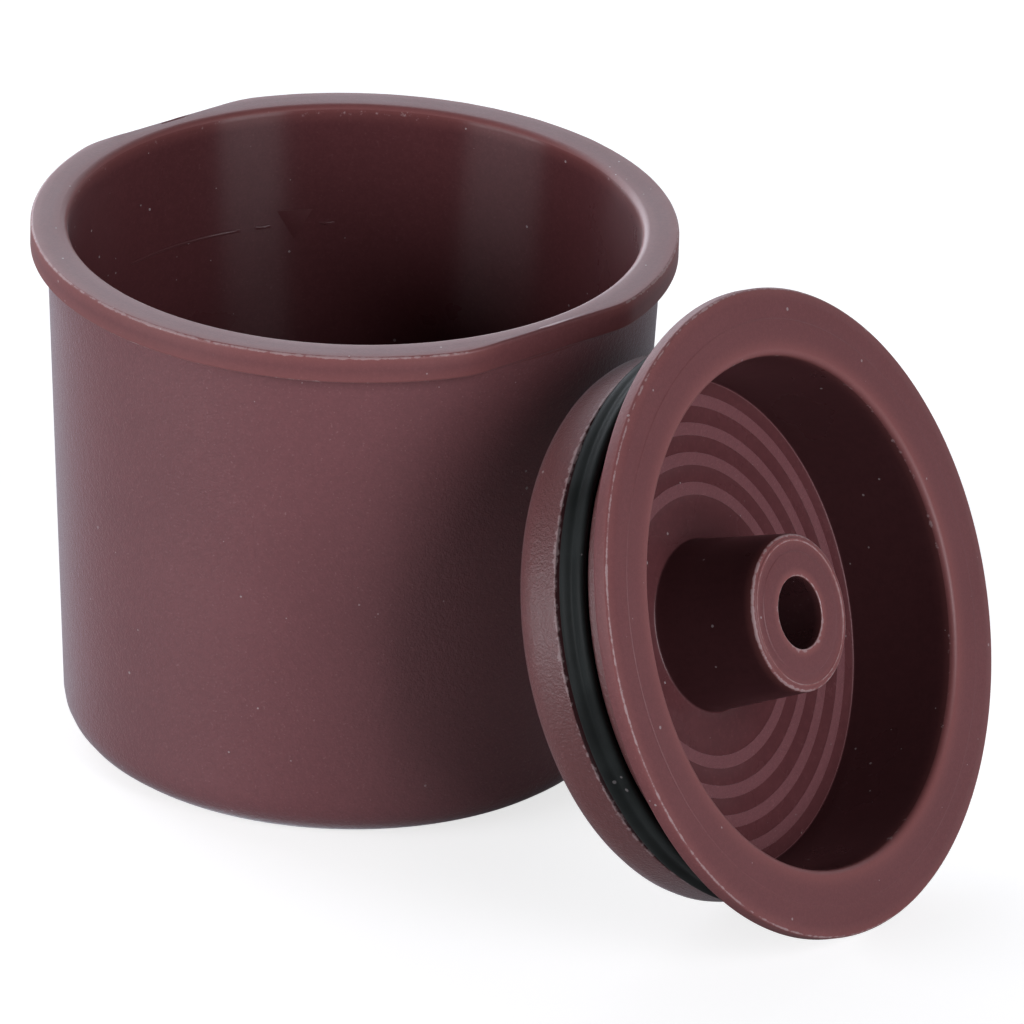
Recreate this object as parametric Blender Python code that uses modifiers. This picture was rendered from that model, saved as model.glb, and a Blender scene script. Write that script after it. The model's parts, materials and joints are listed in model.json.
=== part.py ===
"""Refillable brew capsule in its open state.

A moulded cup stands on its foot ring and holds a steel filter screen in its base. The lid is a plug with
a rubber ring round it, a deep dish on its outer side and a hollow inlet post in the middle of the dish. It
stands on two of its own edges beside the cup, with its plug towards the cup. World origin: middle of the
whole object's bounding box, on the surface it stands on. +X runs from the cup to the lid, +Z is up.
"""

import math

import bmesh
import bpy
from mathutils import Vector

# Turned shapes: sides to a full circle, and straight steps to a quarter round
SIDES = 64
ARC_STEPS = 3
SMOOTH_BELOW = math.radians(35.0)

# Room left between pieces that touch, and how far a cutter outruns what it trims
SEAT_GAP = 0.0003
CUTTER_OVERSIZE = 1.5

# Cup
CUP_HEIGHT = 0.0391
FLANGE_DIAMETER = 0.0460
FLANGE_THICKNESS = 0.0020
FLANGE_OVERHANG = 0.0012
FLANGE_EDGE = 0.0002
FLAT_DEPTH = 0.0010
FLATS_BEARING = math.radians(-18.9)
CUP_WALL = 0.0015
CUP_DRAFT = math.radians(2.5)
BASE_CORNER = 0.0028
LIP_RADIUS = 0.0006

# Cup base: foot ring, outlet spout, and the stepped well under the filter
FOOT_RING_WIDTH = 0.0025
FOOT_RECESS = 0.0012
BASE_THICKNESS = 0.0014
WELL_DEPTH = 0.0014
FILTER_LEDGE = 0.0028
OUTLET_BORE = 0.0030
OUTLET_WALL = 0.0020
OUTLET_DROP = 0.0007

# Base filter
FILTER_SCREEN_THICKNESS = 0.0004
FILTER_RING_HEIGHT = 0.0020
FILTER_RING_WIDTH = 0.0026
RING_EDGE = 0.0003

# Fill mark on the inner wall: a line, and a level symbol at its end
FILL_LINE_DROP = 0.0091
FILL_LINE_BAND = 0.0003
FILL_LINE_START = math.radians(147.0)
FILL_LINE_SPAN = math.radians(29.0)
SYMBOL_SPAN = math.radians(17.0)
SYMBOL_HEIGHT = 0.0023
SYMBOL_TICKS = 2
TICK_SPAN = math.radians(3.4)
MARK_RELIEF = 0.0002
MARK_ROOT = 0.0004
MARK_GAP = math.radians(3.5)

# Lid plate and plug
LID_FLANGE_SETBACK = 0.0002
LID_FLANGE_THICKNESS = 0.0015
LID_FLANGE_EDGE = 0.00025
PLUG_DEPTH = 0.0111
PLUG_CLEARANCE = 0.0005
PLUG_CORNER = 0.0020

# Rubber ring and its groove
SEAL_SECTION = 0.0021
SEAL_SQUEEZE = 0.00045
SEAL_DEPTH = 0.0057
SEAL_SIDE_GAP = 0.00035
SEAL_SEAT_GAP = 0.0002

# Dish and inlet post
DISH_DRAFT = math.radians(3.7)
DISH_LIP = 0.0004
DISH_FLOOR_FILLET = 0.0004
GROOVE_BACKING = 0.0008
POST_SET_BACK = 0.0004
POST_TIP_DIAMETER = 0.0111
POST_DRAFT = math.radians(3.8)
POST_RIM = 0.0006
POST_ROOT_FILLET = 0.0004
INLET_BORE = 0.0051

# Shower screen in the end of the plug
DISH_FLOOR_THICKNESS = 0.0012
SHOWER_RECESS_DEPTH = 0.0014
SHOWER_LAND = 0.0012
SHOWER_SCREEN_THICKNESS = 0.0003
SHOWER_RING_WIDTH = 0.0020

# Where the lid stands
LID_GAP = 0.0005
LID_SIDE_STEP = -0.0045


# Sizes that follow from those above
FLANGE_RADIUS = FLANGE_DIAMETER / 2
FLANGE_UNDERSIDE = CUP_HEIGHT - FLANGE_THICKNESS
BODY_TOP_RADIUS = FLANGE_RADIUS - FLANGE_OVERHANG
FOOT_OUTER_RADIUS = BODY_TOP_RADIUS - math.tan(CUP_DRAFT) * FLANGE_UNDERSIDE - BASE_CORNER
FOOT_INNER_RADIUS = FOOT_OUTER_RADIUS - FOOT_RING_WIDTH
WELL_FLOOR = FOOT_RECESS + BASE_THICKNESS
FILTER_SEAT = WELL_FLOOR + WELL_DEPTH
FILTER_SCREEN_BOTTOM = FILTER_SEAT + SEAT_GAP
FILTER_RING_BOTTOM = FILTER_SCREEN_BOTTOM + FILTER_SCREEN_THICKNESS + SEAT_GAP


def body_radius(height):
    """Outer radius of the cup's tapered wall at a height."""
    return BODY_TOP_RADIUS - math.tan(CUP_DRAFT) * (FLANGE_UNDERSIDE - height)


def bore_radius(height):
    """Inner radius of the cup at a height."""
    return body_radius(height) - CUP_WALL


FILTER_RADIUS = bore_radius(FILTER_SEAT) - SEAT_GAP
FILTER_RING_HOLE = FILTER_RADIUS - FILTER_RING_WIDTH
OUTLET_BORE_RADIUS = OUTLET_BORE / 2
OUTLET_SPOUT_RADIUS = OUTLET_BORE_RADIUS + OUTLET_WALL

LID_FLANGE_RADIUS = FLANGE_RADIUS - LID_FLANGE_SETBACK
PLUG_RADIUS = bore_radius(CUP_HEIGHT - PLUG_DEPTH) - PLUG_CLEARANCE
SEAL_CENTRE_RADIUS = bore_radius(CUP_HEIGHT - SEAL_DEPTH) + SEAL_SQUEEZE - SEAL_SECTION / 2
GROOVE_RADIUS = SEAL_CENTRE_RADIUS - SEAL_SECTION / 2 - SEAL_SEAT_GAP
GROOVE_HALF_WIDTH = SEAL_SECTION / 2 + SEAL_SIDE_GAP
DISH_DEPTH = PLUG_DEPTH - SHOWER_RECESS_DEPTH - DISH_FLOOR_THICKNESS
DISH_FLOOR_RADIUS = GROOVE_RADIUS - GROOVE_BACKING
DISH_MOUTH_RADIUS = DISH_FLOOR_RADIUS + math.tan(DISH_DRAFT) * DISH_DEPTH
POST_TIP_RADIUS = POST_TIP_DIAMETER / 2
POST_ROOT_RADIUS = POST_TIP_RADIUS + math.tan(POST_DRAFT) * (DISH_DEPTH - POST_SET_BACK)
SHOWER_SEAT = SHOWER_RECESS_DEPTH - PLUG_DEPTH
SHOWER_RECESS_RADIUS = PLUG_RADIUS - PLUG_CORNER - SHOWER_LAND
SHOWER_RADIUS = SHOWER_RECESS_RADIUS - SEAT_GAP
SHOWER_SCREEN_TOP = SHOWER_SEAT - SEAT_GAP
SHOWER_RING_TOP = SHOWER_SCREEN_TOP - SHOWER_SCREEN_THICKNESS - SEAT_GAP
SHOWER_RING_THICKNESS = SHOWER_RING_TOP + PLUG_DEPTH


def standing_lean():
    """Angle of the lid's axis above the floor when its flange and the rounded end of its plug both touch."""
    along = (PLUG_DEPTH - PLUG_CORNER) - (LID_FLANGE_THICKNESS - LID_FLANGE_EDGE)
    drop = (LID_FLANGE_RADIUS - LID_FLANGE_EDGE) - (PLUG_RADIUS - PLUG_CORNER)
    reach = math.hypot(along, drop)
    return math.atan2(drop, along) + math.asin((LID_FLANGE_EDGE - PLUG_CORNER) / reach)


LEAN = standing_lean()
LID_HEIGHT = (
    (LID_FLANGE_THICKNESS - LID_FLANGE_EDGE) * math.sin(LEAN)
    + (LID_FLANGE_RADIUS - LID_FLANGE_EDGE) * math.cos(LEAN)
    + LID_FLANGE_EDGE
)
LID_REACH_BACK = (
    (PLUG_DEPTH - PLUG_CORNER) * math.cos(LEAN)
    + (PLUG_RADIUS - PLUG_CORNER) * math.sin(LEAN)
    + PLUG_CORNER
)
LID_REACH_FRONT = (
    (LID_FLANGE_RADIUS - LID_FLANGE_EDGE) * math.sin(LEAN)
    - LID_FLANGE_EDGE * math.cos(LEAN)
    + LID_FLANGE_EDGE
)
LID_STAND_OFF = FLANGE_RADIUS + LID_GAP + LID_REACH_BACK

# The cup's axis, placed so that the origin is in the middle of the bounding box
CUP_X = (FLANGE_RADIUS - LID_STAND_OFF - LID_REACH_FRONT) / 2
CUP_Y = -(max(FLANGE_RADIUS, LID_FLANGE_RADIUS + LID_SIDE_STEP)
          - max(FLANGE_RADIUS, LID_FLANGE_RADIUS - LID_SIDE_STEP)) / 2


def clear_scene():
    for thing in list(bpy.data.objects):
        bpy.data.objects.remove(thing, do_unlink=True)


def new_collection(name):
    collection = bpy.data.collections.new(name)
    bpy.context.scene.collection.children.link(collection)
    return collection


def new_material(name, colour, roughness, metallic=0.0):
    material = bpy.data.materials.new(name)
    material.use_nodes = True
    shader = material.node_tree.nodes["Principled BSDF"]
    shader.inputs["Base Color"].default_value = (*colour, 1.0)
    shader.inputs["Roughness"].default_value = roughness
    shader.inputs["Metallic"].default_value = metallic
    return material


def add_object(name, mesh, collection, material=None):
    piece = bpy.data.objects.new(name, mesh)
    collection.objects.link(piece)
    if material:
        mesh.materials.append(material)
    return piece


def rounded_loop(corners):
    """Points of a closed outline whose corners (radius, height, fillet) are rounded by their fillets."""
    points = []
    for i, (radius, height, fillet) in enumerate(corners):
        corner = Vector((radius, height))
        if fillet == 0.0:
            points.append(corner)
            continue
        back = (Vector(corners[i - 1][:2]) - corner).normalized()
        ahead = (Vector(corners[(i + 1) % len(corners)][:2]) - corner).normalized()
        half = back.angle(ahead) / 2
        centre = corner + (back + ahead).normalized() * (fillet / math.sin(half))
        first = corner + back * (fillet / math.tan(half)) - centre
        turn = first.angle_signed(corner + ahead * (fillet / math.tan(half)) - centre)
        steps = max(1, round(ARC_STEPS * abs(turn) / math.radians(90.0)))
        for step in range(steps + 1):
            angle = -turn * step / steps
            spoke = Vector((
                first.x * math.cos(angle) - first.y * math.sin(angle),
                first.x * math.sin(angle) + first.y * math.cos(angle),
            ))
            points.append(centre + spoke)
    return points


def turned_piece(name, corners, collection, material):
    """A ring turned round Z from a closed outline that runs down its outer side."""
    outline = rounded_loop(corners)
    mesh = bpy.data.meshes.new(name)
    ends = [(i, (i + 1) % len(outline)) for i in range(len(outline))]
    mesh.from_pydata([(point.x, 0.0, point.y) for point in outline], ends, [])
    piece = add_object(name, mesh, collection, material)
    screw = piece.modifiers.new("Turn", "SCREW")
    screw.axis = "Z"
    screw.angle = math.tau
    screw.steps = SIDES
    screw.render_steps = SIDES
    screw.use_merge_vertices = True
    screw.merge_threshold = 0.000001
    screw.use_smooth_shade = True
    return piece


def disc(name, radius, bottom, thickness, collection, material):
    mesh = bpy.data.meshes.new(name)
    shape = bmesh.new()
    bmesh.ops.create_cone(
        shape, cap_ends=True, segments=SIDES, radius1=radius, radius2=radius, depth=thickness
    )
    bmesh.ops.translate(shape, verts=shape.verts, vec=(0.0, 0.0, bottom + thickness / 2))
    shape.to_mesh(mesh)
    shape.free()
    mesh.shade_smooth()
    mesh.set_sharp_from_angle(angle=SMOOTH_BELOW)
    return add_object(name, mesh, collection, material)


def wrapped_bar(name, start, span, bottom, height, collection):
    """A bar bent round the cup's inner wall, standing proud of it by the mark's relief."""
    steps = max(2, round(SIDES * span / math.tau))
    wall = bore_radius(bottom + height / 2)
    mesh = bpy.data.meshes.new(name)
    shape = bmesh.new()
    bmesh.ops.create_cube(shape, size=1.0)
    lengthwise = [edge for edge in shape.edges if abs(edge.verts[0].co.x - edge.verts[1].co.x) > 0.5]
    bmesh.ops.subdivide_edges(shape, edges=lengthwise, cuts=steps - 1, use_grid_fill=True)
    for vertex in shape.verts:
        bearing = start + (0.5 - vertex.co.x) * span
        radius = wall + MARK_ROOT if vertex.co.y > 0.0 else wall - MARK_RELIEF
        vertex.co = (
            radius * math.cos(bearing),
            radius * math.sin(bearing),
            bottom + (vertex.co.z + 0.5) * height,
        )
    bmesh.ops.recalc_face_normals(shape, faces=shape.faces)
    shape.to_mesh(mesh)
    shape.free()
    return add_object(name, mesh, collection)


def wall_triangle(name, bearing, point_height, size, collection):
    """A three-sided prism set in the inner wall, its point down at the level it marks."""
    wall = bore_radius(point_height + size / 2)
    centre_to_point = size * 2 / 3  # on an equilateral triangle that is this tall
    mesh = bpy.data.meshes.new(name)
    shape = bmesh.new()
    bmesh.ops.create_cone(
        shape,
        cap_ends=True,
        segments=3,
        radius1=centre_to_point,
        radius2=centre_to_point,
        depth=MARK_RELIEF + MARK_ROOT,
    )
    shape.to_mesh(mesh)
    shape.free()
    piece = add_object(name, mesh, collection)
    middle = wall + (MARK_ROOT - MARK_RELIEF) / 2
    piece.rotation_euler = (math.radians(-90.0), 0.0, bearing - math.radians(90.0))
    piece.location = (
        middle * math.cos(bearing),
        middle * math.sin(bearing),
        point_height + centre_to_point,
    )
    return piece


def as_tool(tool, cup_root):
    tool.parent = cup_root
    tool.hide_render = True
    tool.display_type = "WIRE"


def combine(piece, tool, operation):
    boolean = piece.modifiers.new(tool.name, "BOOLEAN")
    boolean.operation = operation
    boolean.solver = "EXACT"
    boolean.object = tool


def flat_cutters(collection):
    """Two blocks that trim opposite flats on the flange and nothing under it."""
    length = FLANGE_DIAMETER * CUTTER_OVERSIZE
    block = Vector((FLANGE_RADIUS, length, FLANGE_THICKNESS * 2))
    cutters = []
    for side in (0, 1):
        mesh = bpy.data.meshes.new(f"flat_cutter_{side}")
        shape = bmesh.new()
        bmesh.ops.create_cube(shape, size=1.0)
        bmesh.ops.scale(shape, vec=block, verts=shape.verts)
        shape.to_mesh(mesh)
        shape.free()
        cutter = add_object(mesh.name, mesh, collection)
        bearing = FLATS_BEARING + side * math.pi
        middle = FLANGE_RADIUS - FLAT_DEPTH + block.x / 2
        cutter.rotation_euler.z = bearing
        cutter.location = (
            middle * math.cos(bearing),
            middle * math.sin(bearing),
            CUP_HEIGHT,
        )
        cutters.append(cutter)
    return cutters


def fill_mark(collection):
    """The raised fill line, then a triangle and short ticks that stand in the place of lettering."""
    level = CUP_HEIGHT - FILL_LINE_DROP
    line_bottom = level - FILL_LINE_BAND / 2
    tools = [wrapped_bar("fill_line", FILL_LINE_START, FILL_LINE_SPAN, line_bottom, FILL_LINE_BAND, collection)]
    symbol_end = FILL_LINE_START - MARK_GAP
    tools.append(
        wall_triangle("fill_triangle", symbol_end - SYMBOL_SPAN / 2, level - SYMBOL_HEIGHT / 2,
                      SYMBOL_HEIGHT, collection)
    )
    for tick in range(SYMBOL_TICKS):
        start = symbol_end - SYMBOL_SPAN + tick * (SYMBOL_SPAN - TICK_SPAN)
        tools.append(
            wrapped_bar(f"fill_tick_{tick}", start, TICK_SPAN, line_bottom, FILL_LINE_BAND, collection)
        )
    return tools


def cup_body(collection, cutters, cup_root, material):
    """One moulding: flange with two flats, tapered wall, foot ring, filter ledge and outlet spout."""
    corners = (
        (FLANGE_RADIUS, CUP_HEIGHT, FLANGE_EDGE),
        (FLANGE_RADIUS, FLANGE_UNDERSIDE, FLANGE_EDGE),
        (BODY_TOP_RADIUS, FLANGE_UNDERSIDE, 0.0),
        (FOOT_OUTER_RADIUS + BASE_CORNER, 0.0, BASE_CORNER),
        (FOOT_INNER_RADIUS, 0.0, 0.0),
        (FOOT_INNER_RADIUS, FOOT_RECESS, 0.0),
        (OUTLET_SPOUT_RADIUS, FOOT_RECESS, 0.0),
        (OUTLET_SPOUT_RADIUS, FOOT_RECESS - OUTLET_DROP, 0.0),
        (OUTLET_BORE_RADIUS, FOOT_RECESS - OUTLET_DROP, 0.0),
        (OUTLET_BORE_RADIUS, WELL_FLOOR, 0.0),
        (bore_radius(FILTER_SEAT) - FILTER_LEDGE, WELL_FLOOR, 0.0),
        (bore_radius(FILTER_SEAT) - FILTER_LEDGE, FILTER_SEAT, 0.0),
        (bore_radius(FILTER_SEAT), FILTER_SEAT, 0.0),
        (bore_radius(CUP_HEIGHT), CUP_HEIGHT, LIP_RADIUS),
    )
    piece = turned_piece("cup_body", corners, collection, material)
    for cutter in flat_cutters(cutters):
        as_tool(cutter, cup_root)
        combine(piece, cutter, "DIFFERENCE")
    for tool in fill_mark(cutters):
        as_tool(tool, cup_root)
        combine(piece, tool, "UNION")
    return piece


def base_filter_ring(collection, material):
    """Moulded ring pressed into the bore over the screen."""
    top = FILTER_RING_BOTTOM + FILTER_RING_HEIGHT
    corners = (
        (FILTER_RADIUS, top, RING_EDGE),
        (FILTER_RADIUS, FILTER_RING_BOTTOM, 0.0),
        (FILTER_RING_HOLE, FILTER_RING_BOTTOM, 0.0),
        (FILTER_RING_HOLE, top, RING_EDGE),
    )
    return turned_piece("base_filter_ring", corners, collection, material)


def dish_radius(depth):
    return DISH_MOUTH_RADIUS - math.tan(DISH_DRAFT) * depth


def lid_body(collection, material):
    """One moulding: flange, grooved plug wall, dish and hollow post. Its outer face is at z = 0."""
    groove_top = -SEAL_DEPTH + GROOVE_HALF_WIDTH
    groove_bottom = -SEAL_DEPTH - GROOVE_HALF_WIDTH
    inlet_radius = INLET_BORE / 2
    corners = (
        (LID_FLANGE_RADIUS, 0.0, LID_FLANGE_EDGE),
        (LID_FLANGE_RADIUS, -LID_FLANGE_THICKNESS, LID_FLANGE_EDGE),
        (PLUG_RADIUS, -LID_FLANGE_THICKNESS, 0.0),
        (PLUG_RADIUS, groove_top, 0.0),
        (GROOVE_RADIUS, groove_top, 0.0),
        (GROOVE_RADIUS, groove_bottom, 0.0),
        (PLUG_RADIUS, groove_bottom, 0.0),
        (PLUG_RADIUS, -PLUG_DEPTH, PLUG_CORNER),
        (SHOWER_RECESS_RADIUS, -PLUG_DEPTH, 0.0),
        (SHOWER_RECESS_RADIUS, SHOWER_SEAT, 0.0),
        (inlet_radius, SHOWER_SEAT, 0.0),
        (inlet_radius, -POST_SET_BACK, 0.0),
        (POST_TIP_RADIUS, -POST_SET_BACK, POST_RIM),
        (POST_ROOT_RADIUS, -DISH_DEPTH, POST_ROOT_FILLET),
        (dish_radius(DISH_DEPTH), -DISH_DEPTH, DISH_FLOOR_FILLET),
        (dish_radius(0.0), 0.0, DISH_LIP),
    )
    return turned_piece("lid_body", corners, collection, material)


def lid_shower_ring(collection, material):
    """Thin steel ring that holds the shower screen in the end of the plug."""
    hole = SHOWER_RADIUS - SHOWER_RING_WIDTH
    bottom = SHOWER_RING_TOP - SHOWER_RING_THICKNESS
    corners = (
        (SHOWER_RADIUS, SHOWER_RING_TOP, 0.0),
        (SHOWER_RADIUS, bottom, 0.0),
        (hole, bottom, 0.0),
        (hole, SHOWER_RING_TOP, 0.0),
    )
    return turned_piece("lid_shower_ring", corners, collection, material)


def lid_seal_ring(collection, material):
    bpy.ops.mesh.primitive_torus_add(
        major_segments=SIDES,
        minor_segments=ARC_STEPS * 4,
        major_radius=SEAL_CENTRE_RADIUS,
        minor_radius=SEAL_SECTION / 2,
        location=(0.0, 0.0, 0.0),
    )
    piece = bpy.context.active_object
    piece.name = "lid_seal_ring"
    piece.data.name = piece.name
    piece.data.materials.append(material)
    piece.data.shade_smooth()
    for owner in list(piece.users_collection):
        owner.objects.unlink(piece)
    collection.objects.link(piece)
    piece.location.z = -SEAL_DEPTH
    return piece


def new_root(name, location, collection):
    root = bpy.data.objects.new(name, None)
    root.empty_display_size = FLANGE_RADIUS
    root.location = location
    collection.objects.link(root)
    return root


def build_capsule():
    clear_scene()
    parts = new_collection("refillable_capsule")
    cutters = new_collection("capsule_cutters")
    plastic = new_material("brown_plastic", (0.135, 0.058, 0.058), 0.45)
    rubber = new_material("black_rubber", (0.012, 0.013, 0.013), 0.5)
    steel = new_material("filter_steel", (0.55, 0.54, 0.52), 0.35, 1.0)

    cup_root = new_root("cup_root", (CUP_X, CUP_Y, 0.0), parts)
    cup_pieces = (
        cup_body(parts, cutters, cup_root, plastic),
        disc("base_filter_screen", FILTER_RADIUS, FILTER_SCREEN_BOTTOM, FILTER_SCREEN_THICKNESS, parts, steel),
        base_filter_ring(parts, plastic),
    )
    for piece in cup_pieces:
        piece.parent = cup_root

    # The lid slides along its own axis, so its empty stands on that axis, in the plane of the lid's face
    lid_slide = new_root(
        "lid_slide", (CUP_X + LID_STAND_OFF, CUP_Y + LID_SIDE_STEP, LID_HEIGHT), parts
    )
    lid_slide.rotation_euler.y = math.radians(90.0) - LEAN
    screen_bottom = SHOWER_SCREEN_TOP - SHOWER_SCREEN_THICKNESS
    lid_pieces = (
        lid_body(parts, plastic),
        lid_seal_ring(parts, rubber),
        disc("lid_shower_screen", SHOWER_RADIUS, screen_bottom, SHOWER_SCREEN_THICKNESS, parts, steel),
        lid_shower_ring(parts, steel),
    )
    for piece in lid_pieces:
        piece.parent = lid_slide


build_capsule()
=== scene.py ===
"""A refillable brew capsule, open: the moulded cup stands upright and its plug-in lid leans beside it."""

import json
import math

import bmesh
import bpy
from mathutils import Matrix, Quaternion, Vector, noise


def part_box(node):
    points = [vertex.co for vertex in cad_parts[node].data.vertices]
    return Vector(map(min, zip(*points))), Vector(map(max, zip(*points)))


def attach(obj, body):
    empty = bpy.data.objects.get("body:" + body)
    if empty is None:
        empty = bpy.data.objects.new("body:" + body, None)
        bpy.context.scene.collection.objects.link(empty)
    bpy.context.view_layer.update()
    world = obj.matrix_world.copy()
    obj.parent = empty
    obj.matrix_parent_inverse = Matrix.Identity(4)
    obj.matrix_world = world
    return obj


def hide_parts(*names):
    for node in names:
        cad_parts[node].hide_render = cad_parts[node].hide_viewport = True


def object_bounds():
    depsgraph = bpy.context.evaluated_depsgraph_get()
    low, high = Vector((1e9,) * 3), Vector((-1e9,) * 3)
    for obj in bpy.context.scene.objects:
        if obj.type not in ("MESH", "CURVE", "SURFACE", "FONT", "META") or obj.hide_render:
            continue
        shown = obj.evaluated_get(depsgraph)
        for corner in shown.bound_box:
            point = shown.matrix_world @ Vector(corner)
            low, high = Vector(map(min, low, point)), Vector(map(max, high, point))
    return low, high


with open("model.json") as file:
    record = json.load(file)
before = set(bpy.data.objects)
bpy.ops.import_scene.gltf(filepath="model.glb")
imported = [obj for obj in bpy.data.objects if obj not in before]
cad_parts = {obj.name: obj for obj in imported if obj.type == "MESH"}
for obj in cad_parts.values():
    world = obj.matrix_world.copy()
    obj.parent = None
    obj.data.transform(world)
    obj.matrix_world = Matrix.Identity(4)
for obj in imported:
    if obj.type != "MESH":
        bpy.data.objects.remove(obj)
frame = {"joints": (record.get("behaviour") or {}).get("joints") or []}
cad_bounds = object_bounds()


# Studio: the capsule stands on a lit white table. Two tall softboxes stand left and right of the camera,
# a bright white sweep hangs behind the capsule, and the rest of the room is dark.
OBJECT_MIDDLE = (cad_bounds[0] + cad_bounds[1]) / 2
CAMERA_AIM = OBJECT_MIDDLE + Vector((0.0015, 0.0007, -0.0004))
CAMERA_BEARING = math.radians(-58.65)
CAMERA_ELEVATION = math.radians(25.62)
CAMERA_ROLL = math.radians(1.69)
CAMERA_DISTANCE = 0.805
CAMERA_LENS = 399.3
SOFTBOX_DISTANCE = 0.6
SOFTBOX_WHITE = (1.0, 1.0, 1.06)
TABLE_SIZE = 6.0
TABLE_GREY = (0.50, 0.50, 0.50, 1.0)
TABLE_LIFT = 0.74
SWEEP_WHITE = (0.96, 1.0, 1.10)
SWEEP_LIFT = 15.0
SWEEP_REACH = (math.radians(35.0), math.radians(10.0))


def add_node(tree, kind, inputs=None, **settings):
    """A shader node with its settings made and each named input set or linked."""
    made = tree.nodes.new(kind)
    for name, value in settings.items():
        setattr(made, name, value)
    for name, value in (inputs or {}).items():
        if isinstance(value, bpy.types.NodeSocket):
            tree.links.new(value, made.inputs[name])
        else:
            made.inputs[name].default_value = value
    return made


def calculate(tree, operation, *values, clamp=False):
    """The result of one maths node."""
    inputs = dict(enumerate(values))
    return add_node(tree, "ShaderNodeMath", inputs, operation=operation, use_clamp=clamp).outputs[0]


def remap(tree, value, low, high, start=0.0, end=1.0):
    """The value's range from low to high, eased and carried over to start to end."""
    inputs = {"Value": value, "From Min": low, "From Max": high, "To Min": start, "To Max": end}
    return add_node(tree, "ShaderNodeMapRange", inputs, interpolation_type="SMOOTHSTEP").outputs[0]


def blend_colours(tree, factor, first, second):
    """A mix of two colours; each is a socket or an (r, g, b) colour."""
    inputs = {0: factor}
    for index, colour in ((6, first), (7, second)):
        inputs[index] = colour if isinstance(colour, bpy.types.NodeSocket) else (*colour, 1.0)
    return add_node(tree, "ShaderNodeMix", inputs, data_type="RGBA").outputs[2]


def from_middle(bearing, elevation, distance):
    """The offset to a place around the capsule, its bearing turned from +X towards +Y."""
    level = math.cos(elevation) * distance
    return Vector((level * math.cos(bearing), level * math.sin(bearing), math.sin(elevation) * distance))


def add_camera():
    """The camera, a little above the capsule and rolled slightly."""
    data = bpy.data.cameras.new("camera")
    data.lens = CAMERA_LENS
    camera = bpy.data.objects.new("camera", data)
    bpy.context.scene.collection.objects.link(camera)
    offset = from_middle(CAMERA_BEARING, CAMERA_ELEVATION, CAMERA_DISTANCE)
    camera.location = CAMERA_AIM + offset
    camera.rotation_mode = "QUATERNION"
    camera.rotation_quaternion = offset.to_track_quat("Z", "Y") @ Quaternion((0, 0, 1), CAMERA_ROLL)
    bpy.context.scene.camera = camera


def add_softbox(name, side, lift, width, height, brightness):
    """A softbox turned by an angle to the side of the camera, facing the capsule."""
    data = bpy.data.lights.new(name, "AREA")
    data.shape = "RECTANGLE"
    data.size = width
    data.size_y = height
    data.energy = brightness * 4.0 * width * height
    data.color = SOFTBOX_WHITE
    softbox = bpy.data.objects.new(name, data)
    bpy.context.scene.collection.objects.link(softbox)
    offset = from_middle(CAMERA_BEARING + math.radians(side), math.radians(lift), SOFTBOX_DISTANCE)
    softbox.location = OBJECT_MIDDLE + offset
    softbox.rotation_euler = offset.to_track_quat("Z", "Y").to_euler()


def light_room(sweeps):
    """White to the eye all round; as a light, dark but for bright places (side, brightness) behind."""
    world = bpy.data.worlds.new("room")
    world.use_nodes = True
    bpy.context.scene.world = world
    tree = world.node_tree
    tree.nodes.clear()
    direction = add_node(tree, "ShaderNodeTexCoord").outputs["Generated"]
    light = 0.0
    for side, brightness in sweeps:
        towards = from_middle(CAMERA_BEARING + math.radians(side), math.radians(SWEEP_LIFT), 1.0)
        near = add_node(
            tree, "ShaderNodeVectorMath", {0: direction, 1: towards}, operation="DOT_PRODUCT"
        ).outputs["Value"]
        patch = remap(tree, near, *(math.cos(reach) for reach in SWEEP_REACH), 0.0, brightness)
        light = calculate(tree, "ADD", light, patch)
    seen = add_node(tree, "ShaderNodeLightPath").outputs["Is Camera Ray"]
    strength = add_node(tree, "ShaderNodeMix", {0: seen, 2: light, 3: 1.0}).outputs[0]
    colour = blend_colours(tree, seen, SWEEP_WHITE, (1.0, 1.0, 1.0))
    shade = add_node(tree, "ShaderNodeBackground", {"Color": colour, "Strength": strength})
    add_node(tree, "ShaderNodeOutputWorld", {"Surface": shade.outputs[0]})


def lay_table():
    """A flat grey table, lifted to white where the camera sees it."""
    half = TABLE_SIZE / 2
    mesh = bpy.data.meshes.new("table")
    corners = [(-half, -half, 0), (half, -half, 0), (half, half, 0), (-half, half, 0)]
    mesh.from_pydata(corners, [], [(0, 1, 2, 3)])
    table = bpy.data.objects.new("table", mesh)
    bpy.context.scene.collection.objects.link(table)
    material = bpy.data.materials.new("white_table")
    material.use_nodes = True
    shader = material.node_tree.nodes["Principled BSDF"]
    shader.inputs["Base Color"].default_value = TABLE_GREY
    shader.inputs["Roughness"].default_value = 0.7
    shader.inputs["Specular IOR Level"].default_value = 0.2
    shader.inputs["Emission Color"].default_value = (1.0, 1.0, 1.0, 1.0)
    seen = add_node(material.node_tree, "ShaderNodeLightPath").outputs["Is Camera Ray"]
    lift = calculate(material.node_tree, "MULTIPLY", seen, TABLE_LIFT)
    material.node_tree.links.new(lift, shader.inputs["Emission Strength"])
    mesh.materials.append(material)


add_camera()
add_softbox("softbox_right", 44.5, 20.0, 0.27, 0.46, 4.9)
add_softbox("softbox_left", -62.5, 14.0, 0.355, 0.30, 5.4)
light_room(((145.0, 0.5), (180.0, 1.6), (215.0, 4.1)))
lay_table()
bpy.context.scene.view_settings.view_transform = "Standard"


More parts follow.
